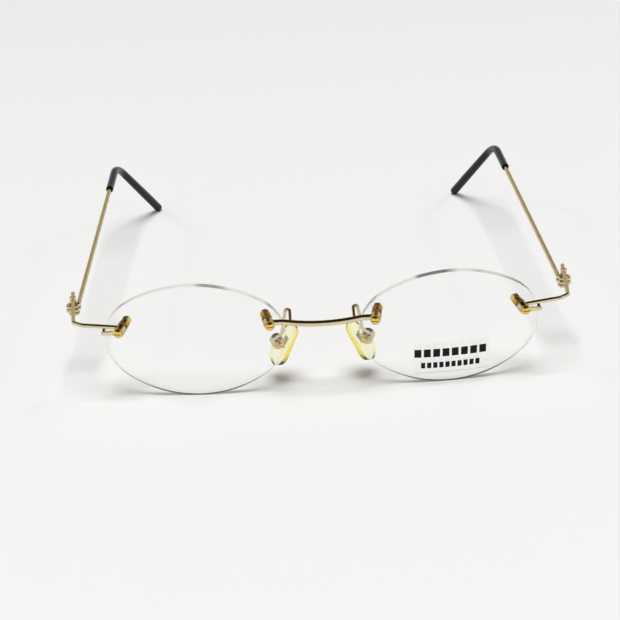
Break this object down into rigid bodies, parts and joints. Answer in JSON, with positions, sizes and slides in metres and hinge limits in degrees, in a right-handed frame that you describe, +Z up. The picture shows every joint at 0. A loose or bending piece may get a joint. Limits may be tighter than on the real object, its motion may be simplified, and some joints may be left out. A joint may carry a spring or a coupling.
{
  "type": "rimless eyeglasses",
  "caption": "Rimless drill-mount eyeglasses with oval lenses, a wire bridge, rocking nose pads and wire temples that fold on coil hinges.",
  "frame": {"origin": "bottom centre of the open frame's bounding box, on the surface it stands on", "axes": "+X to the wearer's left, +Y back along the temples, +Z up"},
  "size_m": [0.1388, 0.1521, 0.0342],
  "materials": {
    "lens": "polished clear demo lens plastic",
    "film": "clear film",
    "rose_gold": "polished pale rose-gold plate",
    "yellow_gold": "polished yellow-gold plate",
    "soft_washer": "translucent",
    "tip": "glossy near-black with a green cast",
    "insert": "satin",
    "pad": "translucent, yellowed silicone"
  },
  "bodies": {
    "front": {"left_lens": "lens", "right_lens": "lens", "size_film": "film", "bridge_wire": "rose_gold", "left_bridge_mount": "rose_gold", "right_bridge_mount": "rose_gold", "left_endpiece_wire": "rose_gold", "right_endpiece_wire": "rose_gold", "left_endpiece_mount": "rose_gold", "right_endpiece_mount": "rose_gold", "left_inner_screw": "yellow_gold", "right_inner_screw": "yellow_gold", "left_outer_screw": "yellow_gold", "right_outer_screw": "yellow_gold", "left_inner_front_washer": "soft_washer", "right_inner_front_washer": "soft_washer", "left_outer_front_washer": "soft_washer", "right_outer_front_washer": "soft_washer", "left_inner_rear_washer": "soft_washer", "right_inner_rear_washer": "soft_washer", "left_outer_rear_washer": "soft_washer", "right_outer_rear_washer": "soft_washer", "left_inner_metal_washer": "yellow_gold", "right_inner_metal_washer": "yellow_gold", "left_outer_metal_washer": "yellow_gold", "right_outer_metal_washer": "yellow_gold", "left_inner_nut": "yellow_gold", "right_inner_nut": "yellow_gold", "left_outer_nut": "yellow_gold", "right_outer_nut": "yellow_gold", "left_hinge_post": "rose_gold", "right_hinge_post": "rose_gold", "left_hinge_cap": "rose_gold", "right_hinge_cap": "rose_gold", "left_pad_arm": "rose_gold", "right_pad_arm": "rose_gold", "left_pad_box": "rose_gold", "right_pad_box": "rose_gold", "left_pad_screw": "yellow_gold", "right_pad_screw": "yellow_gold"},
    "left_temple": {"left_temple_wire": "rose_gold", "left_temple_tip": "tip"},
    "left_pad": {"left_nose_pad": "pad", "left_pad_insert": "insert"},
    "right_temple": {"right_temple_wire": "rose_gold", "right_temple_tip": "tip"},
    "right_pad": {"right_nose_pad": "pad", "right_pad_insert": "insert"}
  },
  "joints": [
    {"name": "left_temple_hinge", "type": "hinge", "parent": "front", "child": "left_temple", "pos_m": [0.0673, -0.05218, 0.02089], "axis": [0, 0, 1], "range_deg": [0, 88]},
    {"name": "right_temple_hinge", "type": "hinge", "parent": "front", "child": "right_temple", "pos_m": [-0.0673, -0.05218, 0.02089], "axis": [0, 0, -1], "range_deg": [0, 83]},
    {"name": "left_pad_rock", "type": "hinge", "parent": "front", "child": "left_pad", "pos_m": [0.01225, -0.06537, 0.0135], "axis": [-0.3696, -0.8661, -0.3366], "range_deg": [-8, 8]},
    {"name": "right_pad_rock", "type": "hinge", "parent": "front", "child": "right_pad", "pos_m": [-0.01225, -0.06537, 0.0135], "axis": [0.3696, -0.8661, -0.3366], "range_deg": [-8, 8]}
  ]
}
